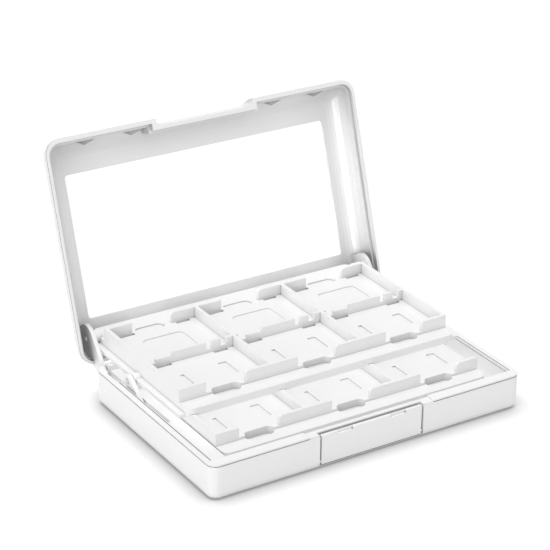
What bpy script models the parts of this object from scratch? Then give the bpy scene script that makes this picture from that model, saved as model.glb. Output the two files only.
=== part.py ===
"""Game card display case, open, with a tray on parallel links that rises with the lid.

X runs along the length of the case, Y from the front to the hinge and Z up.
The origin is the centre of the base's underside. The model stands with the lid
open. Trays and lid are drawn where they lie in the closed case, and are then
carried to the open pose by the hinge and the links.
"""

import math

import bpy
import bmesh
from mathutils import Matrix, Vector

MM = 0.001

# Closed case
CASE_LENGTH = 164.4 * MM
CASE_DEPTH = 105.5 * MM
BASE_HEIGHT = 17.4 * MM
LID_HEIGHT = 16.0 * MM
RIM_GAP = 0.3 * MM
FIT_GAP = 0.3 * MM
OVERRUN = 5.0 * MM
JOIN_OVERLAP = 0.5 * MM

# Base shell
BASE_SIDE_WALL = 3.4 * MM
BASE_FRONT_WALL = 5.3 * MM
BASE_REAR_WALL = 2.6 * MM
BASE_FLOOR = 2.0 * MM
BASE_CORNER = 4.5 * MM
BASE_INNER_CORNER = 2.0 * MM
FOOT_RADIUS = 3.0 * MM
RIM_LINE_DROP = 0.6 * MM
RIM_LINE_WIDTH = 0.5 * MM
RIM_LINE_DEPTH = 0.45 * MM
RIM_GROOVE_INSET = 0.4 * MM
RIM_GROOVE_WIDTH = 0.5 * MM
RIM_GROOVE_DEPTH = 0.45 * MM
INNER_LINE_DROP = 1.0 * MM
INNER_LINE_WIDTH = 0.6 * MM
INNER_LINE_DEPTH = 0.4 * MM
SHELF_DROP = 6.0 * MM
SHELF_WIDTH = 12.0 * MM
FRONT_SHELF_DEPTH = 8.0 * MM
HOLLOW_CORNER = 3.0 * MM

# Side ledges of the base, each with a slot under the lid arm
LEDGE_DROP = 2.2 * MM
LEDGE_WIDTH = 8.4 * MM
SLOT_START = 18.6 * MM
SLOT_MARGIN = 2.2 * MM
SLOT_LENGTH = 12.0 * MM
SLOT_DEPTH = 7.0 * MM

# Trench in the side ledge, in which the link swings
TRENCH_FRONT_MARGIN = 3.8 * MM
TRENCH_REAR_MARGIN = 0.9 * MM
TRENCH_DROP = 12.3 * MM

# Front latch
LATCH_LENGTH = 53.2 * MM
LATCH_THICKNESS = 1.7 * MM
LATCH_SIDE_GAP = 1.0 * MM
LATCH_INSET = 0.3 * MM
LATCH_POCKET_DEPTH = 3.2 * MM
LATCH_TOP_DROP = 1.2 * MM
LATCH_FOOT_GAP = 0.4 * MM
LATCH_SILL = 1.6 * MM
LATCH_AXIS_RISE = 1.2 * MM
TRUNNION_RADIUS = 0.6 * MM
TRUNNION_REACH = 1.6 * MM
CATCH_LENGTH = 8.2 * MM
CATCH_SPACING = 28.2 * MM
CATCH_DEPTH = 1.3 * MM
CATCH_WIDTH = 1.2 * MM
RIM_STEP = 0.7 * MM
RIM_STEP_LENGTH = 66.0 * MM

# Hinge and links
OPEN_ANGLE = math.radians(107.7)
HINGE_BEHIND = 2.9 * MM
HINGE_DROP = 4.5 * MM
CRANK_AHEAD = 14.5 * MM
CRANK_RISE = 9.65 * MM
LINK_SPACING = 40.0 * MM
LINK_DROP = 4.0 * MM
PIN_RADIUS = 1.1 * MM
PIN_CLEARANCE = 0.3 * MM
ARM_MARGIN = 4.3 * MM
ARM_THICKNESS = 2.0 * MM
LINK_HEAD_RADIUS = 3.1 * MM
KNUCKLE_RADIUS = 3.0 * MM
KNUCKLE_LENGTH = 4.0 * MM
LID_ARM_HEAD_RADIUS = 7.0 * MM
LID_ARM_WEB = 12.0 * MM
WALL_PIN_DEPTH = 1.6 * MM
TRAY_BOSS_RADIUS = 3.0 * MM

# Lid
LID_CORNER = 7.0 * MM
LID_OVERHANG = 1.6 * MM
LID_SIDE_WALL = 2.6 * MM
LID_FRONT_WALL = 3.3 * MM
LID_REAR_WALL = 2.6 * MM
LID_PANEL = 2.7 * MM
LID_EDGE_RADIUS = 15.0 * MM
LID_INNER_RADIUS = 9.0 * MM
LID_LIP_WIDTH = 1.3 * MM
LID_LIP_DEPTH = 2.2 * MM
LID_NOTCH_LENGTH = 53.0 * MM
LID_NOTCH_DEPTH = 3.3 * MM
LID_NOTCH_CORNER = 2.5 * MM
LID_NOTCH_HEIGHT = 9.5 * MM
TAB_LENGTH = 10.4 * MM
TAB_PEAK = 6.2 * MM
TAB_REACH = 2.4 * MM
TAB_TIP_REACH = 0.4 * MM
TAB_HEIGHT = 3.2 * MM
TAB_RISE = 2.4 * MM

# Middles of the tabs, as shares of the stretch from the notch wall's end to the base's end
TAB_SHARES = (0.1641, 0.6298)

# Window
WINDOW_SIDE_MARGIN = 12.9 * MM
WINDOW_END_MARGIN = 18.7 * MM
WINDOW_CORNER = 1.5 * MM
WINDOW_SEAT = 2.0 * MM
WINDOW_LIP = 1.0 * MM
PANE_THICKNESS = 1.1 * MM

# Trays, both with the same cells
CELL_COLUMNS = 3
CELL_END_MARGIN = 10.29 * MM
CELL_WALL = 1.8 * MM
CELL_FLOOR_STEP = 1.1 * MM
FRONT_WALL_MARGIN = 17.35 * MM
REAR_WALL_MARGIN = 20.2 * MM
ROW_WALL_SHARE = 0.4849
WALL_OPENING = 20.7 * MM
WALL_END_RADIUS = 1.6 * MM
TRAY_PLATE = 1.4 * MM
TRAY_CORNER = 3.5 * MM
TRAY_SKIRT_WALL = 1.3 * MM
TRAY_STACK_GAP = 0.35 * MM
WELL_WALL = 0.8 * MM

# Lower tray
LOWER_WALL_HEIGHT = 4.75 * MM
LOWER_WELL_DEPTH = 3.6 * MM
LOWER_SIDE_MARGIN = 12.2 * MM
LOWER_FRONT_MARGIN = 9.5 * MM
LOWER_REAR_MARGIN = 2.9 * MM
LOWER_PLATE_DROP = 2.0 * MM

# Upper tray
UPPER_WALL_HEIGHT = 5.2 * MM
UPPER_WELL_DEPTH = 3.3 * MM
UPPER_SIDE_MARGIN = 10.3 * MM
UPPER_FRONT_MARGIN = 9.3 * MM
UPPER_REAR_MARGIN = 5.1 * MM
UPPER_SKIRT = 3.7 * MM
SIDE_LEDGE_WIDTH = 3.1 * MM
SIDE_LEDGE_DROP = 2.85 * MM
SIDE_LEDGE_THICKNESS = 1.6 * MM
SIDE_LEDGE_SETBACK = 2.7 * MM

# Details of one cell, from its centre
FINGER_HOLE_LENGTH = 14.4 * MM
FINGER_HOLE_WIDTH = 5.2 * MM
REAR_SLOT_LENGTH = 15.3 * MM
REAR_SLOT_WIDTH = 6.9 * MM
REAR_SLOT_DEPTH = 0.6 * MM
CARD_RECESS_WIDTH = 21.6 * MM
CARD_RECESS_LENGTH = 24.0 * MM
CARD_RECESS_CORNER = 3.0 * MM
CARD_RECESS_DEPTH = 0.4 * MM
GROOVE_WIDTH = 1.8 * MM
GROOVE_DEPTH = 0.5 * MM
GROOVE_START = 9.9 * MM
LEFT_GROOVE_LENGTH = 10.4 * MM
RIGHT_GROOVE_LENGTH = 11.8 * MM
GROOVE_LEG = 2.6 * MM
CORE_PIT_DEPTH = 1.0 * MM
CORE_PIT_REACH = 1.9 * MM
TOOTH_CUT = 1.7 * MM
GAP_CUT = 3.3 * MM

# Starts and ends of the cuts in the row wall, as shares of the cell pitch from the
# cell's centre: deep gaps, and one lower tooth next to the left gap
GAP_CUT_SHARES = ((-0.46, -0.355), (0.187, 0.252), (0.343, 0.416))
TOOTH_CUT_SHARES = ((-0.355, -0.184),)
CORE_PIT_SHARES = ((-0.43, -0.2), (0.262, 0.415))

# Rounding in steps
CORNER_STEPS = 6
EDGE_STEPS = 8
PIN_SIDES = 20
HEAD_SIDES = 28
FOOT_STEPS = 4
OBROUND_SHARE = 0.499
SHARP_ANGLE = math.radians(30)

# Places worked out from the sizes above
SIDE = CASE_LENGTH / 2
FRONT = -CASE_DEPTH / 2
REAR = CASE_DEPTH / 2
RIM = BASE_HEIGHT
LID_RIM = RIM + RIM_GAP
HINGE = (REAR + HINGE_BEHIND, RIM - HINGE_DROP)
LINK_BASE = (HINGE[0] - LINK_SPACING, HINGE[1] - LINK_DROP)
SHELF_TOP = RIM - SHELF_DROP
LOWER_PLATE_TOP = RIM - LOWER_PLATE_DROP
LOWER_WALL_TOP = LOWER_PLATE_TOP + CELL_FLOOR_STEP + LOWER_WALL_HEIGHT
UPPER_PLATE_TOP = LOWER_WALL_TOP + TRAY_STACK_GAP + TRAY_PLATE
ARM_OUTER = SIDE - ARM_MARGIN
ARM_INNER = ARM_OUTER - ARM_THICKNESS
BEARING_OUTER = ARM_INNER - FIT_GAP
BORE_RADIUS = PIN_RADIUS + PIN_CLEARANCE
FRONT_WALL = FRONT + FRONT_WALL_MARGIN
REAR_WALL = REAR - REAR_WALL_MARGIN
ROW_WALL = FRONT_WALL + ROW_WALL_SHARE * (REAR_WALL - FRONT_WALL)
CELL_PITCH = (CASE_LENGTH - 2 * CELL_END_MARGIN) / CELL_COLUMNS
NOTCH_END = LID_NOTCH_LENGTH / 2 + LID_FRONT_WALL


def turned(ahead, rise, angle):
    """Y and Z of a crank arm's end about its pivot, turned back from the closed pose."""
    y = -ahead
    return (
        y * math.cos(angle) + rise * math.sin(angle),
        -y * math.sin(angle) + rise * math.cos(angle),
    )


CRANK_CLOSED = (-CRANK_AHEAD, CRANK_RISE)
CRANK_OPEN = turned(CRANK_AHEAD, CRANK_RISE, OPEN_ANGLE)
TRAY_RISE = CRANK_OPEN[1] - CRANK_CLOSED[1]


def clear_scene():
    """Removes whatever objects the scene holds."""
    for item in list(bpy.data.objects):
        bpy.data.objects.remove(item, do_unlink=True)


def plastic(name, colour, roughness):
    """An opaque plastic."""
    material = bpy.data.materials.new(name)
    material.use_nodes = True
    shader = material.node_tree.nodes["Principled BSDF"]
    shader.inputs["Base Color"].default_value = (*colour, 1.0)
    shader.inputs["Roughness"].default_value = roughness
    shader.inputs["Metallic"].default_value = 0.0
    material.diffuse_color = (*colour, 1.0)
    return material


def rounded_box(x0, x1, y0, y1, radius, steps=CORNER_STEPS):
    """Outline of a rectangle with round corners, anticlockwise."""
    points = []
    for quarter, (x, y) in enumerate(((x1, y1), (x0, y1), (x0, y0), (x1, y0))):
        centre_x = x - radius if x == x1 else x + radius
        centre_y = y - radius if y == y1 else y + radius
        for step in range(steps + 1):
            angle = (quarter + step / steps) * math.pi / 2
            points.append((centre_x + radius * math.cos(angle), centre_y + radius * math.sin(angle)))
    return points


def box_outline(x0, x1, y0, y1):
    """Outline of a plain rectangle, anticlockwise."""
    return [(x0, y0), (x1, y0), (x1, y1), (x0, y1)]


def obround(x0, x1, y0, y1):
    """Outline of a slot with round ends, anticlockwise."""
    return rounded_box(x0, x1, y0, y1, (y1 - y0) * OBROUND_SHARE)


def circle(centre, radius, sides):
    """Outline of a circle, anticlockwise."""
    return [
        (centre[0] + radius * math.cos(math.tau * k / sides), centre[1] + radius * math.sin(math.tau * k / sides))
        for k in range(sides)
    ]


def hull(points):
    """Convex outline round the points, anticlockwise."""
    ordered = sorted(set(points))

    def half(run):
        chain = []
        for p in run:
            while len(chain) > 1:
                a, b = chain[-2], chain[-1]
                if (b[0] - a[0]) * (p[1] - a[1]) - (b[1] - a[1]) * (p[0] - a[0]) > 0:
                    break
                chain.pop()
            chain.append(p)
        return chain[:-1]

    return half(ordered) + half(reversed(ordered))


def loft(levels, axis="Z"):
    """Closed body through outlines with equal numbers of points, given from low to high."""
    order = {"Z": lambda a, b, h: (a, b, h), "X": lambda a, b, h: (h, a, b), "Y": lambda a, b, h: (b, h, a)}[axis]
    shape = bmesh.new()
    rings = [[shape.verts.new(order(a, b, h)) for a, b in outline] for h, outline in levels]
    for low, high in zip(rings, rings[1:]):
        for i, corner in enumerate(low):
            j = (i + 1) % len(low)
            shape.faces.new((corner, low[j], high[j], high[i]))
    shape.faces.new(list(reversed(rings[0])))
    shape.faces.new(rings[-1])
    mesh = bpy.data.meshes.new("shape")
    shape.to_mesh(mesh)
    shape.free()
    body = bpy.data.objects.new("shape", mesh)
    bpy.context.collection.objects.link(body)
    return body


def prism(outline, low, high, axis="Z"):
    """Straight body between two heights along an axis."""
    return loft(((low, outline), (high, outline)), axis)


def block(x0, x1, y0, y1, z0, z1):
    """Plain rectangular body."""
    return prism(box_outline(x0, x1, y0, y1), z0, z1)


def rod(centre, radius, x0, x1, sides=PIN_SIDES):
    """Cylinder along X about a centre given in Y and Z."""
    return prism(circle(centre, radius, sides), min(x0, x1), max(x0, x1), "X")


def slab(outline, x0, x1):
    """Flat plate in the YZ plane between two X places, in either order."""
    return prism(outline, min(x0, x1), max(x0, x1), "X")


def combine(body, tools, operation):
    """Joins the tools to a body or cuts them from it, and removes them."""
    group = bpy.data.collections.new("tools")
    for tool in tools:
        group.objects.link(tool)
    modifier = body.modifiers.new(operation, "BOOLEAN")
    modifier.operation = operation
    modifier.operand_type = "COLLECTION"
    modifier.collection = group
    modifier.solver = "EXACT"
    evaluated = body.evaluated_get(bpy.context.evaluated_depsgraph_get())
    result = bpy.data.meshes.new_from_object(evaluated)
    body.modifiers.clear()
    body.data = result
    for tool in tools:
        bpy.data.objects.remove(tool, do_unlink=True)
    bpy.data.collections.remove(group)
    return body


def join(body, *tools):
    """One closed body made of a body and what is added to it."""
    return combine(body, tools, "UNION")


def cut(body, *tools):
    """A body with the tools cut out of it."""
    return combine(body, tools, "DIFFERENCE")


def finish(body, name, material, origin, place=None, angle=0.0):
    """Names a body, moves its origin and sets it at its place in the open case."""
    body.name = name
    body.data.name = name
    body.data.transform(Matrix.Translation(-Vector(origin)))
    body.data.materials.clear()
    body.data.materials.append(material)
    body.data.shade_smooth()
    body.data.set_sharp_from_angle(angle=SHARP_ANGLE)
    body.location = origin if place is None else place
    body.rotation_euler = (angle, 0.0, 0.0)
    return body


def base_outline(inset):
    """Outer outline of the base, drawn in by an inset."""
    return rounded_box(
        -SIDE + inset, SIDE - inset, FRONT + inset, REAR - inset, BASE_CORNER - inset
    )


def base_solid():
    """Outer form of the base, with a rounded foot."""
    levels = []
    for step in range(FOOT_STEPS + 1):
        angle = math.pi / 2 * step / FOOT_STEPS
        inset = FOOT_RADIUS * (1 - math.sin(angle))
        levels.append((FOOT_RADIUS * (1 - math.cos(angle)), base_outline(inset)))
    levels.append((BASE_HEIGHT, base_outline(0.0)))
    return loft(levels)


def base_well():
    """Cutters for the well of the base: to the side ledges, to the shelf and to the floor."""
    inner = SIDE - BASE_SIDE_WALL
    front = FRONT + BASE_FRONT_WALL
    back = REAR - BASE_REAR_WALL
    rim = rounded_box(-inner, inner, front, back, BASE_INNER_CORNER)
    well = box_outline(-inner + LEDGE_WIDTH, inner - LEDGE_WIDTH, front, back)
    hollow = rounded_box(
        -inner + SHELF_WIDTH, inner - SHELF_WIDTH, front + FRONT_SHELF_DEPTH, back - BASE_REAR_WALL, HOLLOW_CORNER
    )
    return [
        prism(rim, RIM - LEDGE_DROP, RIM + OVERRUN),
        prism(well, SHELF_TOP, RIM + OVERRUN),
        prism(hollow, BASE_FLOOR, RIM + OVERRUN),
    ]


def line_cutter(outline, low):
    """Ring that cuts a thin line into an outer wall, from a function that gives its outline at an inset."""
    high = low + RIM_LINE_WIDTH
    ring = prism(outline(-OVERRUN), low, high)
    return cut(ring, prism(outline(RIM_LINE_DEPTH), low - OVERRUN, high + OVERRUN))


def rim_line_cutters(side):
    """Thin groove along the top of one side wall, and a thin line in the wall's inner face."""
    inner = SIDE - BASE_SIDE_WALL
    groove = (side * (inner + RIM_GROOVE_INSET), side * (inner + RIM_GROOVE_INSET + RIM_GROOVE_WIDTH))
    line = (side * (inner - JOIN_OVERLAP), side * (inner + INNER_LINE_DEPTH))
    front = FRONT + BASE_FRONT_WALL
    back = REAR - SLOT_START
    low = RIM - INNER_LINE_DROP - INNER_LINE_WIDTH
    return [
        block(min(groove), max(groove), front, back, RIM - RIM_GROOVE_DEPTH, RIM + OVERRUN),
        block(min(line), max(line), front, back, low, low + INNER_LINE_WIDTH),
    ]


def hinge_knuckle(side):
    """Bearing behind the rear wall that holds one hinge pin."""
    root = REAR - BASE_REAR_WALL + JOIN_OVERLAP
    outline = hull(
        circle(HINGE, KNUCKLE_RADIUS, HEAD_SIDES)
        + [(root, HINGE[1] + KNUCKLE_RADIUS), (root, HINGE[1] - KNUCKLE_RADIUS - HINGE_BEHIND)]
    )
    return slab(outline, side * BEARING_OUTER, side * (BEARING_OUTER - KNUCKLE_LENGTH))


def arm_slot_cutters(side):
    """Slot in the side ledge under the lid arm, run out through the rear wall."""
    low = RIM - SLOT_DEPTH
    high = RIM + OVERRUN
    near = REAR - SLOT_START
    slot = obround(near, near + SLOT_LENGTH, -SIDE + SLOT_MARGIN, -BEARING_OUTER)
    turned_slot = [(-side * b, a) for a, b in slot]
    if side < 0:
        turned_slot.reverse()
    outer = side * (ARM_OUTER + FIT_GAP)
    inner = side * BEARING_OUTER
    passage = block(
        min(outer, inner), max(outer, inner), near + SLOT_LENGTH / 2, REAR + OVERRUN,
        HINGE[1] - KNUCKLE_RADIUS - FIT_GAP, high,
    )
    return [prism(turned_slot, low, high), passage]


def trench_cutter(side):
    """Trench in which a link swings. The right one is as wide as the ledge and runs on to the front wall."""
    outer = side * (SIDE - BASE_SIDE_WALL)
    inner = side * BEARING_OUTER
    front = LINK_BASE[0] + CRANK_CLOSED[0] - LINK_HEAD_RADIUS - TRENCH_FRONT_MARGIN
    if side > 0:
        inner = outer - LEDGE_WIDTH
        front = FRONT + BASE_FRONT_WALL
    back = LINK_BASE[0] + CRANK_OPEN[0] + LINK_HEAD_RADIUS + TRENCH_REAR_MARGIN
    return block(min(outer, inner), max(outer, inner), front, back, RIM - TRENCH_DROP, RIM + OVERRUN)


def latch_pocket_cutters():
    """Pocket in the front wall for the latch, bores for its trunnions, and the low rim."""
    half = LATCH_LENGTH / 2 + LATCH_SIDE_GAP
    axis = (FRONT + LATCH_INSET + LATCH_THICKNESS / 2, LATCH_SILL + LATCH_FOOT_GAP + LATCH_AXIS_RISE)
    reach = LATCH_LENGTH / 2 + TRUNNION_REACH + FIT_GAP
    return [
        block(-half, half, FRONT - OVERRUN, FRONT + LATCH_POCKET_DEPTH, LATCH_SILL, RIM + OVERRUN),
        rod(axis, TRUNNION_RADIUS + FIT_GAP, -reach, reach),
        block(
            -RIM_STEP_LENGTH / 2, RIM_STEP_LENGTH / 2, FRONT - OVERRUN, FRONT + BASE_FRONT_WALL + OVERRUN,
            RIM - RIM_STEP, RIM + OVERRUN,
        ),
    ]


def base_shell():
    """The moulded base with shelf, ledges, knuckles, trenches and latch pocket."""
    body = cut(base_solid(), *base_well(), line_cutter(base_outline, RIM - RIM_LINE_DROP - RIM_LINE_WIDTH))
    join(body, hinge_knuckle(-1), hinge_knuckle(1))
    cutters = latch_pocket_cutters()
    for side in (-1, 1):
        cutters += arm_slot_cutters(side)
        cutters.append(trench_cutter(side))
        cutters += rim_line_cutters(side)
    cut(body, *cutters)
    bores = []
    for side in (-1, 1):
        bores.append(rod(HINGE, BORE_RADIUS, side * ARM_OUTER, side * (BEARING_OUTER - KNUCKLE_LENGTH - OVERRUN)))
        bores.append(
            rod(
                LINK_BASE, BORE_RADIUS, side * (SIDE - BASE_SIDE_WALL + WALL_PIN_DEPTH + FIT_GAP),
                side * ARM_OUTER,
            )
        )
    return cut(body, *bores)


def latch_panel():
    """Sprung front panel with two catch notches in its top edge and a trunnion at each end."""
    half = LATCH_LENGTH / 2
    face = FRONT + LATCH_INSET
    foot = LATCH_SILL + LATCH_FOOT_GAP
    top = RIM - LATCH_TOP_DROP
    axis = (face + LATCH_THICKNESS / 2, foot + LATCH_AXIS_RISE)
    body = block(-half, half, face, face + LATCH_THICKNESS, foot, top)
    join(body, rod(axis, TRUNNION_RADIUS, -half - TRUNNION_REACH, half + TRUNNION_REACH))
    notches = []
    for side in (-1, 1):
        middle = side * CATCH_SPACING / 2
        notches.append(
            block(
                middle - CATCH_LENGTH / 2, middle + CATCH_LENGTH / 2,
                face - OVERRUN, face + CATCH_WIDTH, top - CATCH_DEPTH, top + OVERRUN,
            )
        )
    return cut(body, *notches), (0.0, *axis)


def cell_centres():
    """X places of the cells' centres."""
    middle = (CELL_COLUMNS - 1) / 2
    return [(column - middle) * CELL_PITCH for column in range(CELL_COLUMNS)]


def divider_places():
    """X places of the walls between the cells."""
    centres = cell_centres()
    return [(left + right) / 2 for left, right in zip(centres, centres[1:])]


def wall_piece(left, right, place, low, high, free_right=False):
    """Piece of a wall across the tray, with a rounded upper corner at its left end, or at both."""
    outline = [(low, left)]
    for step in range(CORNER_STEPS + 1):
        angle = math.pi / 2 * step / CORNER_STEPS
        outline.append(
            (high - WALL_END_RADIUS * (1 - math.sin(angle)), left + WALL_END_RADIUS * (1 - math.cos(angle)))
        )
    if free_right:
        outline += [(height, left + right - x) for height, x in reversed(outline)]
    else:
        outline += [(high, right), (low, right)]
    return prism(outline, place, place + CELL_WALL, "Y")


def broken_wall(half_length, place, low, high, free_right=False):
    """Wall across the tray with an opening at each cell."""
    edges = [-half_length]
    for centre in cell_centres():
        edges += [centre - WALL_OPENING / 2, centre + WALL_OPENING / 2]
    edges.append(half_length)
    pieces = list(zip(edges[::2], edges[1::2]))
    walls = [wall_piece(left, right, place, low, high) for left, right in pieces[:-1]]
    return walls + [wall_piece(*pieces[-1], place, low, high, free_right)]


def cell_walls(half_length, low, high, open_right):
    """Walls of all cells of one tray. The right wall can leave out the front cell."""
    front = FRONT_WALL
    back = REAR_WALL + CELL_WALL
    right_start = ROW_WALL if open_right else front
    walls = broken_wall(half_length, front, low, high, open_right)
    walls += broken_wall(half_length, REAR_WALL, low, high)
    walls.append(block(-half_length, half_length, ROW_WALL, ROW_WALL + CELL_WALL, low, high))
    walls.append(block(-half_length, -half_length + CELL_WALL, front, back, low, high))
    walls.append(block(half_length - CELL_WALL, half_length, right_start, back, low, high))
    for middle in divider_places():
        walls.append(block(middle - CELL_WALL / 2, middle + CELL_WALL / 2, front, back, low, high))
    return walls


def row_wall_cutters(centre, high):
    """Gaps and low teeth in the row wall behind one front cell."""
    cutters = []
    for shares, depth in ((GAP_CUT_SHARES, GAP_CUT), (TOOTH_CUT_SHARES, TOOTH_CUT)):
        for start_share, end_share in shares:
            cutters.append(
                block(
                    centre + start_share * CELL_PITCH, centre + end_share * CELL_PITCH,
                    ROW_WALL - FIT_GAP, ROW_WALL + CELL_WALL + FIT_GAP, high - depth, high + OVERRUN,
                )
            )
    return cutters


def groove_cutters(centre, floor):
    """Two guide grooves in the floor of one front cell, the right one with a short round-ended leg."""
    start = FRONT_WALL + GROOVE_START
    left = centre - CARD_RECESS_WIDTH / 2 + GROOVE_WIDTH / 3
    right = centre + CARD_RECESS_WIDTH / 2
    low = floor - GROOVE_DEPTH
    high = floor + OVERRUN
    corner_end = start + RIGHT_GROOVE_LENGTH
    leg = obround(right - GROOVE_LEG, right + GROOVE_WIDTH, corner_end - GROOVE_WIDTH, corner_end)
    return [
        block(left - GROOVE_WIDTH, left, start, start + LEFT_GROOVE_LENGTH, low, high),
        block(right, right + GROOVE_WIDTH, start, corner_end - GROOVE_WIDTH / 2, low, high),
        prism(leg, low, high),
    ]


def pit_cutters(centre, wall, floor):
    """Shallow moulding pits in the floor in front of a wall."""
    return [
        block(
            centre + start_share * CELL_PITCH, centre + end_share * CELL_PITCH,
            wall - CORE_PIT_REACH, wall, floor - CORE_PIT_DEPTH, floor + FIT_GAP,
        )
        for start_share, end_share in CORE_PIT_SHARES
    ]


def cell_cutters(centre, floor, high, hole_depth):
    """Everything cut into one column of cells: finger hole, rear slot, recess, grooves and pits."""
    front = FRONT_WALL
    row_back = ROW_WALL + CELL_WALL
    rear = REAR_WALL + CELL_WALL
    half_card = CARD_RECESS_WIDTH / 2
    recess = rounded_box(
        centre - half_card, centre + half_card, row_back - CARD_RECESS_CORNER, row_back + CARD_RECESS_LENGTH,
        CARD_RECESS_CORNER,
    )
    clipped = [(x, max(y, row_back)) for x, y in recess]
    cutters = [
        prism(
            obround(
                centre - FINGER_HOLE_LENGTH / 2, centre + FINGER_HOLE_LENGTH / 2,
                front - FINGER_HOLE_WIDTH / 2, front + FINGER_HOLE_WIDTH / 2,
            ),
            floor - hole_depth, high,
        ),
        prism(
            obround(
                centre - REAR_SLOT_LENGTH / 2, centre + REAR_SLOT_LENGTH / 2,
                rear - REAR_SLOT_WIDTH / 2, rear + REAR_SLOT_WIDTH / 2,
            ),
            floor - CELL_FLOOR_STEP - REAR_SLOT_DEPTH, high,
        ),
        prism(hull(clipped), floor - CARD_RECESS_DEPTH, floor + FIT_GAP),
    ]
    cutters += groove_cutters(centre, floor)
    cutters += pit_cutters(centre, ROW_WALL, floor)
    cutters += pit_cutters(centre, REAR_WALL, floor)
    return cutters + row_wall_cutters(centre, high)


def add_cells(body, half_length, plate_top, wall_height, hole_depth, open_right):
    """Raises the cell floor and walls on a tray plate and cuts the cells' details."""
    floor = plate_top + CELL_FLOOR_STEP
    high = floor + wall_height
    back = REAR_WALL + CELL_WALL
    join(body, block(-half_length, half_length, FRONT_WALL, back, plate_top - JOIN_OVERLAP, floor))
    join(body, *cell_walls(half_length, floor - JOIN_OVERLAP, high, open_right))
    for centre in cell_centres():
        cut(body, *cell_cutters(centre, floor, high, hole_depth))
    return body


def finger_wells(plate_top, depth):
    """Closed cups under the finger holes of one tray."""
    half_length = FINGER_HOLE_LENGTH / 2 + WELL_WALL
    half_width = FINGER_HOLE_WIDTH / 2 + WELL_WALL
    low = plate_top + CELL_FLOOR_STEP - depth - WELL_WALL
    high = plate_top - TRAY_PLATE + JOIN_OVERLAP
    return [
        block(
            centre - half_length, centre + half_length, FRONT_WALL - half_width, FRONT_WALL + half_width, low, high
        )
        for centre in cell_centres()
    ]


def lower_tray():
    """Tray that stands on the base's shelf with a skirt all round."""
    half = SIDE - LOWER_SIDE_MARGIN
    front = FRONT + LOWER_FRONT_MARGIN
    back = REAR - LOWER_REAR_MARGIN
    foot = SHELF_TOP + FIT_GAP
    body = prism(rounded_box(-half, half, front, back, TRAY_CORNER), foot, LOWER_PLATE_TOP)
    inner = rounded_box(
        -half + CELL_WALL, half - CELL_WALL, front + CELL_WALL, back - CELL_WALL, TRAY_CORNER - CELL_WALL
    )
    cut(body, prism(inner, foot - OVERRUN, LOWER_PLATE_TOP - TRAY_PLATE))
    join(body, *finger_wells(LOWER_PLATE_TOP, LOWER_WELL_DEPTH))
    return add_cells(body, half, LOWER_PLATE_TOP, LOWER_WALL_HEIGHT, LOWER_WELL_DEPTH, True)


def tray_side(side, half):
    """Outer ledge of one side of the upper tray, with its two bearing bosses."""
    front = FRONT + UPPER_FRONT_MARGIN + SIDE_LEDGE_SETBACK
    back = REAR - UPPER_REAR_MARGIN
    top = UPPER_PLATE_TOP - SIDE_LEDGE_DROP
    inner = side * (half - JOIN_OVERLAP)
    outer = side * (half + SIDE_LEDGE_WIDTH)
    pieces = [
        block(min(inner, outer), max(inner, outer), front, back, top - SIDE_LEDGE_THICKNESS, top),
    ]
    for pivot in (HINGE, LINK_BASE):
        centre = (pivot[0] + CRANK_CLOSED[0], pivot[1] + CRANK_CLOSED[1])
        pieces.append(
            rod(centre, TRAY_BOSS_RADIUS, side * BEARING_OUTER, side * (half - TRAY_SKIRT_WALL), HEAD_SIDES)
        )
    return pieces


def upper_tray():
    """Tray on the links, with a skirt in front and at the sides and open behind."""
    half = SIDE - UPPER_SIDE_MARGIN
    front = FRONT + UPPER_FRONT_MARGIN
    back = REAR - UPPER_REAR_MARGIN
    web_low = UPPER_PLATE_TOP - SIDE_LEDGE_DROP - SIDE_LEDGE_THICKNESS
    body = prism(rounded_box(-half, half, front, back, TRAY_CORNER), web_low, UPPER_PLATE_TOP)
    inner = rounded_box(
        -half + TRAY_SKIRT_WALL, half - TRAY_SKIRT_WALL, front + TRAY_SKIRT_WALL, back + OVERRUN,
        TRAY_CORNER - TRAY_SKIRT_WALL,
    )
    cutters = [
        prism(inner, web_low - OVERRUN, UPPER_PLATE_TOP - TRAY_PLATE),
        block(
            -half - OVERRUN, half + OVERRUN, front - OVERRUN, front + SIDE_LEDGE_SETBACK,
            web_low - OVERRUN, UPPER_PLATE_TOP - UPPER_SKIRT,
        ),
    ]
    lower_side = SIDE - LOWER_SIDE_MARGIN - CELL_WALL / 2
    for middle in (-lower_side, *divider_places(), lower_side):
        cutters.append(
            block(
                middle - CELL_WALL, middle + CELL_WALL, front - OVERRUN, front + SIDE_LEDGE_SETBACK,
                web_low - OVERRUN, LOWER_WALL_TOP + FIT_GAP - TRAY_RISE,
            )
        )
    cut(body, *cutters)
    join(body, *tray_side(-1, half), *tray_side(1, half), *finger_wells(UPPER_PLATE_TOP, UPPER_WELL_DEPTH))
    bores = []
    for side in (-1, 1):
        for pivot in (HINGE, LINK_BASE):
            centre = (pivot[0] + CRANK_CLOSED[0], pivot[1] + CRANK_CLOSED[1])
            bores.append(rod(centre, BORE_RADIUS, side * ARM_OUTER, side * (BEARING_OUTER - WALL_PIN_DEPTH)))
    cut(body, *bores)
    return add_cells(body, half, UPPER_PLATE_TOP, UPPER_WALL_HEIGHT, UPPER_WELL_DEPTH, False)


def dome(x0, x1, y0, y1, corner, low, top, edge):
    """Outlines of a box with a quarter-round top edge, from low to top."""
    levels = [(low, rounded_box(x0, x1, y0, y1, corner))]
    for step in range(EDGE_STEPS + 1):
        angle = math.pi / 2 * step / EDGE_STEPS
        inset = edge * (1 - math.cos(angle))
        height = top - edge + edge * math.sin(angle)
        levels.append((height, rounded_box(x0 + inset, x1 - inset, y0 + inset, y1 - inset, corner)))
    return levels


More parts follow.
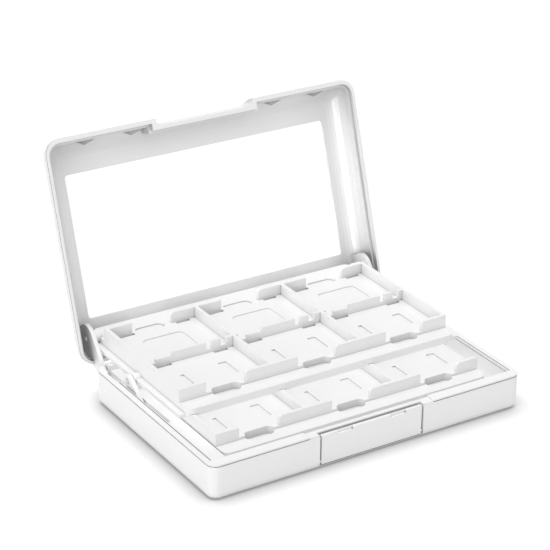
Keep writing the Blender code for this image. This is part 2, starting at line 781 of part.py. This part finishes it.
def window_cutters(ceiling, top):
    """Window opening in the lid panel, and the seat for its pane."""
    half = SIDE + LID_OVERHANG - WINDOW_SIDE_MARGIN
    front = FRONT + WINDOW_END_MARGIN
    back = REAR - WINDOW_END_MARGIN
    seat = WINDOW_SEAT
    opening = rounded_box(-half, half, front, back, WINDOW_CORNER)
    rebate = rounded_box(-half - seat, half + seat, front - seat, back + seat, WINDOW_CORNER + seat)
    return [
        prism(opening, ceiling - OVERRUN, top + OVERRUN),
        prism(rebate, ceiling + WINDOW_LIP, top + OVERRUN),
    ]


def lid_window():
    """Clear pane that lies in the seat of the lid."""
    half = SIDE + LID_OVERHANG - WINDOW_SIDE_MARGIN + WINDOW_SEAT - FIT_GAP
    front = FRONT + WINDOW_END_MARGIN - WINDOW_SEAT + FIT_GAP
    back = REAR - WINDOW_END_MARGIN + WINDOW_SEAT - FIT_GAP
    low = RIM + RIM_GAP + LID_HEIGHT - LID_PANEL + WINDOW_LIP + FIT_GAP
    outline = rounded_box(-half, half, front, back, WINDOW_CORNER + WINDOW_SEAT - FIT_GAP)
    return prism(outline, low, low + PANE_THICKNESS)


def retaining_tab(centre):
    """Small hooked wedge on the inside of the lid's front wall, deeper away from the rim."""
    wall = FRONT + LID_FRONT_WALL
    low = LID_RIM + TAB_RISE
    levels = []
    for height, reach in ((low, TAB_TIP_REACH), (low + TAB_HEIGHT, TAB_REACH)):
        outline = [
            (centre - TAB_LENGTH / 2, wall - JOIN_OVERLAP),
            (centre + TAB_LENGTH / 2, wall - JOIN_OVERLAP),
            (centre + TAB_LENGTH / 2, wall + reach / 2),
            (centre - TAB_LENGTH / 2 + TAB_PEAK, wall + reach),
        ]
        levels.append((height, outline))
    return loft(levels)


def lid_outline(inset):
    """Outer outline of the lid's rim, drawn in by an inset."""
    side = SIDE + LID_OVERHANG
    return rounded_box(-side + inset, side - inset, FRONT + inset, REAR - inset, LID_CORNER - inset)


def lip_cutter():
    """Step along the inner half of the lid's rim."""
    side = SIDE + LID_OVERHANG - LID_SIDE_WALL + LID_LIP_WIDTH
    front = FRONT + LID_FRONT_WALL - LID_LIP_WIDTH
    corner = LID_CORNER - LID_SIDE_WALL + LID_LIP_WIDTH
    rim = rounded_box(-side, side, front, REAR - LID_REAR_WALL + LID_LIP_WIDTH, corner)
    return prism(rim, LID_RIM - OVERRUN, LID_RIM + LID_LIP_DEPTH)


def lid_solid():
    """Outer form of the lid, with rounded upper edges."""
    side = SIDE + LID_OVERHANG
    top = LID_RIM + LID_HEIGHT
    return loft(dome(-side, side, FRONT, REAR, LID_CORNER, LID_RIM, top, LID_EDGE_RADIUS))


def lid_arm(side, ceiling):
    """Hinge arm inside one end of the lid, from the hinge pin up to the panel."""
    crank = (HINGE[0] + CRANK_CLOSED[0], HINGE[1] + CRANK_CLOSED[1])
    arm = hull(circle(HINGE, KNUCKLE_RADIUS, HEAD_SIDES) + circle(crank, LID_ARM_HEAD_RADIUS, HEAD_SIDES))
    web = box_outline(
        crank[0] - LID_ARM_WEB / 2, crank[0] + LID_ARM_WEB / 2, crank[1], ceiling + JOIN_OVERLAP
    )
    return [
        slab(arm, side * ARM_OUTER, side * ARM_INNER),
        combine(slab(web, side * ARM_OUTER, side * ARM_INNER), [lid_solid()], "INTERSECT"),
    ]


def lid_shell():
    """Lid with rounded edges, a finger notch, retaining tabs, window opening and two arms."""
    top = LID_RIM + LID_HEIGHT
    ceiling = top - LID_PANEL
    body = lid_solid()
    inner = SIDE + LID_OVERHANG - LID_SIDE_WALL
    hollow = dome(
        -inner, inner, FRONT + LID_FRONT_WALL, REAR - LID_REAR_WALL, LID_CORNER - LID_SIDE_WALL,
        LID_RIM - OVERRUN, ceiling, LID_INNER_RADIUS,
    )
    cut(body, loft(hollow), lip_cutter(), line_cutter(lid_outline, LID_RIM + RIM_LINE_DROP))
    half_notch = LID_NOTCH_LENGTH / 2
    notch_back = FRONT + LID_NOTCH_DEPTH + LID_FRONT_WALL
    lip_start = FRONT + LID_FRONT_WALL - LID_LIP_WIDTH
    notch_wall = block(
        -NOTCH_END, NOTCH_END, FRONT + LID_NOTCH_DEPTH, notch_back, LID_RIM, LID_RIM + LID_NOTCH_HEIGHT
    )
    notch_foot = block(
        -NOTCH_END, NOTCH_END, lip_start, notch_back, LID_RIM, LID_RIM + LID_LIP_DEPTH + JOIN_OVERLAP
    )
    places = [NOTCH_END + share * (SIDE - NOTCH_END) for share in TAB_SHARES]
    tabs = [retaining_tab(side * place) for side in (-1, 1) for place in places]
    join(body, notch_wall, notch_foot, *tabs, *lid_arm(-1, ceiling), *lid_arm(1, ceiling))
    notch = rounded_box(
        -half_notch, half_notch, FRONT - OVERRUN, FRONT + LID_NOTCH_DEPTH, LID_NOTCH_CORNER
    )
    lip_end = NOTCH_END - LID_LIP_WIDTH
    lips = [
        block(
            -NOTCH_END, NOTCH_END, notch_back - LID_LIP_WIDTH, notch_back + FIT_GAP,
            LID_RIM - OVERRUN, LID_RIM + LID_LIP_DEPTH,
        )
    ]
    for side in (-1, 1):
        near = side * lip_end
        far = side * (NOTCH_END + FIT_GAP)
        lips.append(
            block(min(near, far), max(near, far), lip_start, notch_back, LID_RIM - OVERRUN, LID_RIM + LID_LIP_DEPTH)
        )
    cut(body, prism(notch, LID_RIM - OVERRUN, top + OVERRUN), *lips, *window_cutters(ceiling, top))
    crank = (HINGE[0] + CRANK_CLOSED[0], HINGE[1] + CRANK_CLOSED[1])
    bores = []
    for side in (-1, 1):
        outer = side * (ARM_OUTER + FIT_GAP)
        inner = side * (ARM_INNER - FIT_GAP)
        bores.append(rod(HINGE, BORE_RADIUS, outer, inner))
        bores.append(rod(crank, BORE_RADIUS, outer, inner))
    return cut(body, *bores)


def link_arm(side):
    """One link, drawn in the closed pose about its pin in the base."""
    head = (LINK_BASE[0] + CRANK_CLOSED[0], LINK_BASE[1] + CRANK_CLOSED[1])
    outline = hull(
        circle(LINK_BASE, LINK_HEAD_RADIUS, HEAD_SIDES) + circle(head, LINK_HEAD_RADIUS, HEAD_SIDES)
    )
    body = slab(outline, side * ARM_OUTER, side * ARM_INNER)
    outer = side * (ARM_OUTER + FIT_GAP)
    inner = side * (ARM_INNER - FIT_GAP)
    return cut(body, rod(LINK_BASE, BORE_RADIUS, outer, inner), rod(head, BORE_RADIUS, outer, inner))


def at(x, pivot):
    """World place of a pivot given in Y and Z."""
    return (x, pivot[0], pivot[1])


def build():
    """All pieces of the case, in the open pose."""
    clear_scene()
    white = plastic("white_plastic", (0.92, 0.92, 0.92), 0.3)
    tray_white = plastic("tray_plastic", (0.9, 0.9, 0.9), 0.38)
    clear = plastic("clear_pane", (0.96, 0.97, 0.97), 0.08)
    pin_white = plastic("pin_plastic", (0.8, 0.8, 0.8), 0.3)

    finish(base_shell(), "base_shell", white, (0.0, 0.0, 0.0))
    finish(lower_tray(), "lower_tray", tray_white, (0.0, 0.0, 0.0))
    panel, panel_axis = latch_panel()
    finish(panel, "latch_panel", white, panel_axis)

    hinge = at(0.0, HINGE)
    crank_closed = (HINGE[0] + CRANK_CLOSED[0], HINGE[1] + CRANK_CLOSED[1])
    crank_open = (HINGE[0] + CRANK_OPEN[0], HINGE[1] + CRANK_OPEN[1])
    link_closed = (LINK_BASE[0] + CRANK_CLOSED[0], LINK_BASE[1] + CRANK_CLOSED[1])
    link_open = (LINK_BASE[0] + CRANK_OPEN[0], LINK_BASE[1] + CRANK_OPEN[1])
    finish(lid_shell(), "lid_shell", white, hinge, hinge, -OPEN_ANGLE)
    finish(lid_window(), "lid_window", clear, hinge, hinge, -OPEN_ANGLE)
    finish(upper_tray(), "upper_tray", tray_white, at(0.0, crank_closed), at(0.0, crank_open))

    for side, word in ((-1, "left"), (1, "right")):
        outer = side * ARM_OUTER
        knuckle_end = side * (BEARING_OUTER - KNUCKLE_LENGTH)
        boss_end = side * (BEARING_OUTER - WALL_PIN_DEPTH + FIT_GAP)
        wall_end = side * (SIDE - BASE_SIDE_WALL + WALL_PIN_DEPTH)
        arm_inner = side * ARM_INNER
        base_pivot = at(0.0, LINK_BASE)
        finish(link_arm(side), "link_arm_" + word, tray_white, base_pivot, base_pivot, -OPEN_ANGLE)
        finish(rod(HINGE, PIN_RADIUS, outer, knuckle_end), "hinge_pin_" + word, pin_white, hinge)
        finish(rod(LINK_BASE, PIN_RADIUS, wall_end, arm_inner), "link_base_pin_" + word, pin_white, base_pivot)
        finish(
            rod(link_closed, PIN_RADIUS, outer, boss_end), "link_tray_pin_" + word, pin_white,
            at(0.0, link_closed), at(0.0, link_open),
        )
        finish(
            rod(crank_closed, PIN_RADIUS, outer, boss_end), "tray_lid_pin_" + word, pin_white,
            at(0.0, crank_closed), at(0.0, crank_open),
        )


build()
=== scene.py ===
"""Looks of the game card display case: camera, light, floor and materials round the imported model."""

import math

import bpy
from mathutils import Matrix, Vector

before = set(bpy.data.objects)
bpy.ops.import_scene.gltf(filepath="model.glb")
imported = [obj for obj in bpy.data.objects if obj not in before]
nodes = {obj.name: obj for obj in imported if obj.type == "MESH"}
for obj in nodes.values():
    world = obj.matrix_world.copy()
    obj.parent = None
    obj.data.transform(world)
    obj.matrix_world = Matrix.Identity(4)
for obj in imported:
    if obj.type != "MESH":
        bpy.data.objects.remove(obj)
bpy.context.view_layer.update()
MM = 0.001

# Camera at the photograph's angle: its place and three axes, its sensor and lens in millimetres,
# the small shift of the photograph's framing, and its clipping range
CAMERA_PLACE = (-0.4694, -0.71445, 0.4675)
CAMERA_RIGHT = (0.84489439, -0.53477987, 0.01280471)
CAMERA_UP = (0.2202923, 0.36965166, 0.90267877)
CAMERA_BACK = (-0.48746772, -0.75984745, 0.4301245)
SENSOR_WIDTH = 36.0
LENS = 138.04
SHIFT = (-0.02547, 0.01948)
CLIP_RANGE = (0.01, 50.0)

# Surroundings: their strength where they are seen, and as light on a surface
WHITE = (1.0, 1.0, 1.0, 1.0)
SEEN_STRENGTH = 1.0
AMBIENT = 0.5

# A ray with fewer diffuse bounces than this has had none
NO_BOUNCE = 0.5

# Angle over which the fill lamp spreads
FILL_SPREAD = math.radians(30)

# Floor: its side, and its tones as it lights the case and as it is seen, with a glow for the latter
FLOOR_SIZE = 6.0
FLOOR_TONE = 0.9
FLOOR_SEEN_TONE = 0.95
FLOOR_GLOW = 0.12

# Shade at contacts, in narrow joints and in hollows: reach, two open shares, and the tone at the
# lower one. On the case a reach beyond NEIGHBOUR_REACH sees only the piece itself, so that no wide
# shade comes and goes as the pieces move.
CONTACT_SHADE = (13.0 * MM, 0.3, 0.97, 0.4)
JOINT_SHADE = (1.1 * MM, 0.4, 0.66, 0.5)
GAP_SHADE = (4.0 * MM, 0.1, 0.42, 0.25)
TRAY_SHADE = (9.0 * MM, 0.2, 0.75, 0.7)
LID_SHADE = (30.0 * MM, 0.25, 0.98, 0.36)
NEIGHBOUR_REACH = 4.0 * MM
SHADE_SAMPLES = 8

# Painted shade on the lid's retaining tabs, in its open pose: their middles and half length along X,
# the hinge, the lid's two own axes, and the tabs' range along each of these, seen from the hinge
TAB_PLACES = (38.4 * MM, 62.8 * MM)
TAB_HALF_LENGTH = 5.3 * MM
HINGE = (0.0, 55.65 * MM, 12.9 * MM)
LID_BACKWARD = (0.0, -0.304, -0.9527)
LID_UPWARD = (0.0, 0.9527, -0.304)
TAB_BACKWARD = (-104.95 * MM, -102.0 * MM)
TAB_UPWARD = (7.0 * MM, 10.7 * MM)
# Tone that the painted shade gives the tabs' colour
TAB_SHADE_TONE = 0.42

# Noises of the plastics: scale in cells per metre, and detail
MOTTLE_NOISE = (45.0, 3.0)
GLOSS_NOISE = (120.0, 4.0)
SPARK_NOISE = (2600.0, 2.0)
SMEAR_NOISE = (60.0, 3.0)

# Moulded plastic: the darker mottles' share of the colour, the swing of its roughness, its bump
MOTTLE_SHARE = 0.985
GLOSS_SWING = 0.03
SPARK_STRENGTH = 0.1
SPARK_HEIGHT = 0.02 * MM
BEVEL_SAMPLES = 6
PLASTIC_IOR = 1.5

# Clear pane: its colour, and its least and most roughness
PANE_COLOUR = (0.985, 0.99, 0.99, 1.0)
PANE_ROUGHNESS = (0.01, 0.05)


def make_camera():
    """Camera that frames the case as the photograph does."""
    data = bpy.data.cameras.new("camera")
    data.sensor_width = SENSOR_WIDTH
    data.lens = LENS
    data.shift_x, data.shift_y = SHIFT
    data.clip_start, data.clip_end = CLIP_RANGE
    camera = bpy.data.objects.new("camera", data)
    bpy.context.scene.collection.objects.link(camera)
    turn = Matrix((CAMERA_RIGHT, CAMERA_UP, CAMERA_BACK)).transposed()
    camera.matrix_world = Matrix.Translation(CAMERA_PLACE) @ turn.to_4x4()
    bpy.context.scene.camera = camera


class Graph:
    """Short calls for building a node tree."""

    def __init__(self, tree):
        self.tree = tree

    def feed(self, node, inputs):
        """Links each named input to a socket, or sets it to a value."""
        for name, value in inputs.items():
            if isinstance(value, bpy.types.NodeSocket):
                self.tree.links.new(value, node.inputs[name])
            else:
                node.inputs[name].default_value = value

    def node(self, kind, inputs, **settings):
        """New node with its settings made before its inputs are fed."""
        made = self.tree.nodes.new(kind)
        for name, value in settings.items():
            setattr(made, name, value)
        self.feed(made, inputs)
        return made

    def math(self, operation, a, b=0.0):
        """Result of a math node."""
        return self.node("ShaderNodeMath", {0: a, 1: b}, operation=operation).outputs[0]


def seen_directly(graph):
    """1 for rays that show the background, also mirrored or through the pane, and 0 for its light."""
    path = graph.node("ShaderNodeLightPath", {}).outputs
    either = graph.math("MAXIMUM", path["Is Camera Ray"], path["Is Glossy Ray"])
    shown = graph.math("MAXIMUM", either, path["Is Transmission Ray"])
    return graph.math("MULTIPLY", shown, graph.math("LESS_THAN", path["Diffuse Depth"], NO_BOUNCE))


def lit_and_seen(graph, light, seen):
    """Mixes the shader that lights surfaces with the one that is seen directly."""
    return graph.node("ShaderNodeMixShader", {"Fac": seen_directly(graph), 1: light, 2: seen}).outputs[0]


def make_world():
    """White surroundings that light the case at a plain level."""
    world = bpy.data.worlds.new("surroundings")
    bpy.context.scene.world = world
    world.use_nodes = True
    world.node_tree.nodes.clear()
    graph = Graph(world.node_tree)
    seen = graph.node("ShaderNodeBackground", {"Color": WHITE, "Strength": SEEN_STRENGTH}).outputs[0]
    light = graph.node("ShaderNodeBackground", {"Color": WHITE, "Strength": AMBIENT}).outputs[0]
    graph.node("ShaderNodeOutputWorld", {"Surface": lit_and_seen(graph, light, seen)})


def area_light(name, place, target, size, power):
    """Soft rectangular lamp of a given width and height."""
    data = bpy.data.lights.new(name, "AREA")
    data.shape = "RECTANGLE"
    data.size, data.size_y = size
    data.energy = power
    return hang(data, place, target)


def fill_light(name, place, power):
    """Distant lamp that throws no shadow, for light that comes from all round a studio."""
    data = bpy.data.lights.new(name, "SUN")
    data.energy = power
    data.angle = FILL_SPREAD
    data.use_shadow = False
    hang(data, place, (0.0, 0.0, 0.0))


def hang(data, place, target):
    """Puts a lamp at a place and turns it to its target.

    The pane throws no shadow, so a lamp that rays also met through it would count twice.
    """
    lamp = bpy.data.objects.new(data.name, data)
    bpy.context.scene.collection.objects.link(lamp)
    lamp.visible_transmission = False
    lamp.location = place
    lamp.rotation_mode = "QUATERNION"
    lamp.rotation_quaternion = (Vector(target) - Vector(place)).to_track_quat("-Z", "Y")
    return lamp


def open_tone(graph, reach, low, high, tone, only_local=False):
    """1 where a surface's open share is at the higher limit, down to the tone at the lower one."""
    open_share = graph.node(
        "ShaderNodeAmbientOcclusion", {"Distance": reach}, samples=SHADE_SAMPLES, only_local=only_local
    ).outputs["AO"]
    limits = {"From Min": low, "From Max": high, "To Min": tone, "To Max": 1.0}
    return graph.node("ShaderNodeMapRange", {"Value": open_share, **limits}).outputs[0]


def make_floor():
    """Pale floor that shows white and keeps the case's soft shadow, with painted contact shade darkening
    it near the case.
    """
    half = FLOOR_SIZE / 2
    mesh = bpy.data.meshes.new("floor")
    corners = [(-half, -half, 0), (half, -half, 0), (half, half, 0), (-half, half, 0)]
    mesh.from_pydata(corners, [], [(0, 1, 2, 3)])
    floor = bpy.data.objects.new("floor", mesh)
    bpy.context.scene.collection.objects.link(floor)
    material = bpy.data.materials.new("floor")
    material.use_nodes = True
    material.node_tree.nodes.clear()
    graph = Graph(material.node_tree)
    # Painted contact shade: the floor's colour darkens near the case
    contact = open_tone(graph, *CONTACT_SHADE)
    light, bright = [
        graph.node("ShaderNodeBsdfDiffuse", {"Color": graph.math("MULTIPLY", contact, tone)}).outputs[0]
        for tone in (FLOOR_TONE, FLOOR_SEEN_TONE)
    ]
    glow = graph.node(
        "ShaderNodeEmission", {"Color": WHITE, "Strength": graph.math("MULTIPLY", contact, FLOOR_GLOW)}
    ).outputs[0]
    seen = graph.node("ShaderNodeAddShader", {0: bright, 1: glow}).outputs[0]
    graph.node("ShaderNodeOutputMaterial", {"Surface": lit_and_seen(graph, light, seen)})
    mesh.materials.append(material)


def principled(name):
    """Material, its one principled shader, its graph and the place on the piece."""
    material = bpy.data.materials.new(name)
    material.use_nodes = True
    graph = Graph(material.node_tree)
    place = graph.node("ShaderNodeTexCoord", {}).outputs["Object"]
    return material, material.node_tree.nodes["Principled BSDF"], graph, place


def noise(graph, place, scale, detail):
    """Noise of a scale and detail."""
    inputs = {"Vector": place, "Scale": scale, "Detail": detail}
    return graph.node("ShaderNodeTexNoise", inputs).outputs["Fac"]


def scaled(graph, colour, factor):
    """A colour times a factor."""
    return graph.node("ShaderNodeVectorMath", {0: colour, "Scale": factor}, operation="SCALE").outputs[0]


def tab_painted_shade(graph, place):
    """Factor for painted shade on the lid's retaining tabs, which sit in the shade of its rim, and 1
    elsewhere.
    """
    arm = graph.node("ShaderNodeVectorMath", {0: place, 1: HINGE}, operation="SUBTRACT").outputs["Vector"]
    across = graph.math("ABSOLUTE", graph.node("ShaderNodeSeparateXYZ", {"Vector": place}).outputs["X"])
    offsets = [graph.math("ABSOLUTE", graph.math("SUBTRACT", across, middle)) for middle in TAB_PLACES]
    tests = [graph.math("LESS_THAN", graph.math("MINIMUM", *offsets), TAB_HALF_LENGTH)]
    for axis, (low, high) in ((LID_BACKWARD, TAB_BACKWARD), (LID_UPWARD, TAB_UPWARD)):
        product = graph.node("ShaderNodeVectorMath", {0: arm, 1: axis}, operation="DOT_PRODUCT")
        along = product.outputs["Value"]
        tests += [graph.math("GREATER_THAN", along, low), graph.math("LESS_THAN", along, high)]
    darkening = 1.0 - TAB_SHADE_TONE
    for test in tests:
        darkening = graph.math("MULTIPLY", test, darkening)
    return graph.math("SUBTRACT", 1.0, darkening)


def opaque_grey(value):
    """Grey as a colour with full alpha."""
    return (value, value, value, 1.0)


def moulded_plastic(name, grey, roughness, bevel, hollow_shade, extra_painted_shade=None):
    """Satin moulded plastic.

    It has slight mottling, painted shade in joints and hollows, uneven gloss, fine spark texture and
    eased edges. The extra painted shade darkens chosen places of a piece that sit in shade.
    """
    material, shader, graph, place = principled(name)
    mottles = noise(graph, place, *MOTTLE_NOISE)
    shades = {"A": opaque_grey(grey * MOTTLE_SHARE), "B": opaque_grey(grey)}
    colour = graph.node("ShaderNodeMix", {"Factor": mottles, **shades}, data_type="RGBA").outputs["Result"]
    # Painted shade: the colour darkens in narrow joints and in hollows
    for shade in (JOINT_SHADE, hollow_shade):
        only_local = shade[0] > NEIGHBOUR_REACH
        colour = scaled(graph, colour, open_tone(graph, *shade, only_local=only_local))
    # Painted shade on chosen places of the piece, such as the lid's tabs under its rim
    if extra_painted_shade:
        colour = scaled(graph, colour, extra_painted_shade(graph, place))
    clouds = noise(graph, place, *GLOSS_NOISE)
    gloss_range = {"To Min": roughness - GLOSS_SWING, "To Max": roughness + GLOSS_SWING}
    gloss = graph.node("ShaderNodeMapRange", {"Value": clouds, **gloss_range}).outputs[0]
    sparks = noise(graph, place, *SPARK_NOISE)
    eased = graph.node("ShaderNodeBevel", {"Radius": bevel}, samples=BEVEL_SAMPLES).outputs[0]
    relief = {"Strength": SPARK_STRENGTH, "Distance": SPARK_HEIGHT, "Height": sparks, "Normal": eased}
    bump = graph.node("ShaderNodeBump", relief).outputs[0]
    graph.feed(shader, {"Base Color": colour, "Roughness": gloss, "Normal": bump, "IOR": PLASTIC_IOR})
    return material


def clear_plastic(name):
    """Polished clear sheet with faint smears."""
    material, shader, graph, place = principled(name)
    low, high = PANE_ROUGHNESS
    smears = noise(graph, place, *SMEAR_NOISE)
    gloss = graph.node("ShaderNodeMapRange", {"Value": smears, "To Min": low, "To Max": high}).outputs[0]
    clear = {"Base Color": PANE_COLOUR, "Transmission Weight": 1.0, "IOR": PLASTIC_IOR}
    graph.feed(shader, {"Roughness": gloss, **clear})
    return material


def dress(material, slot, *names):
    """Gives CAD nodes their material. The slot argument is not used."""
    for name in names:
        piece = nodes[name]
        piece.material_slots[0].material = material


make_camera()
make_world()
make_floor()

# Soft lamp from the front that gloss doesn't mirror, wide low lamp that only gloss mirrors, and fill
front = area_light(
    "front", place=(-0.55, -1.25, 0.3), target=(0.0, 0.0, 0.04), size=(0.28, 0.28), power=1.8
)
front.visible_glossy = False
sheen = area_light(
    "sheen", place=(-0.936, -0.726, 0.14), target=(0.078, 0.08, 0.06), size=(0.9, 0.3), power=11.0
)
sheen.visible_diffuse = False
fill_light("fill", place=(-0.45, -0.1, 0.9), power=1.64)

# Plastics by grey, roughness, radius of the eased edges and shade, with the pins greyer than the rest
base = moulded_plastic("base_plastic", 0.94, 0.3, 0.35 * MM, GAP_SHADE)
# The lid also gets painted shade on its retaining tabs
lid = moulded_plastic("lid_plastic", 0.93, 0.3, 0.35 * MM, LID_SHADE, extra_painted_shade=tab_painted_shade)
tray = moulded_plastic("tray_plastic", 0.93, 0.36, 0.25 * MM, TRAY_SHADE)
pin = moulded_plastic("pin_plastic", 0.75, 0.3, 0.2 * MM, TRAY_SHADE)
clear = clear_plastic("clear_plastic")
dress(base, "shell", "base_shell", "latch_panel")
dress(lid, "shell", "lid_shell")
dress(tray, "tray", "lower_tray", "upper_tray", "link_arm_left", "link_arm_right")
dress(pin, "pin", *[name for name in nodes if "_pin_" in name])
dress(clear, "clear", "lid_window")
nodes["lid_window"].visible_shadow = False

bpy.context.scene.view_settings.view_transform = "Standard"
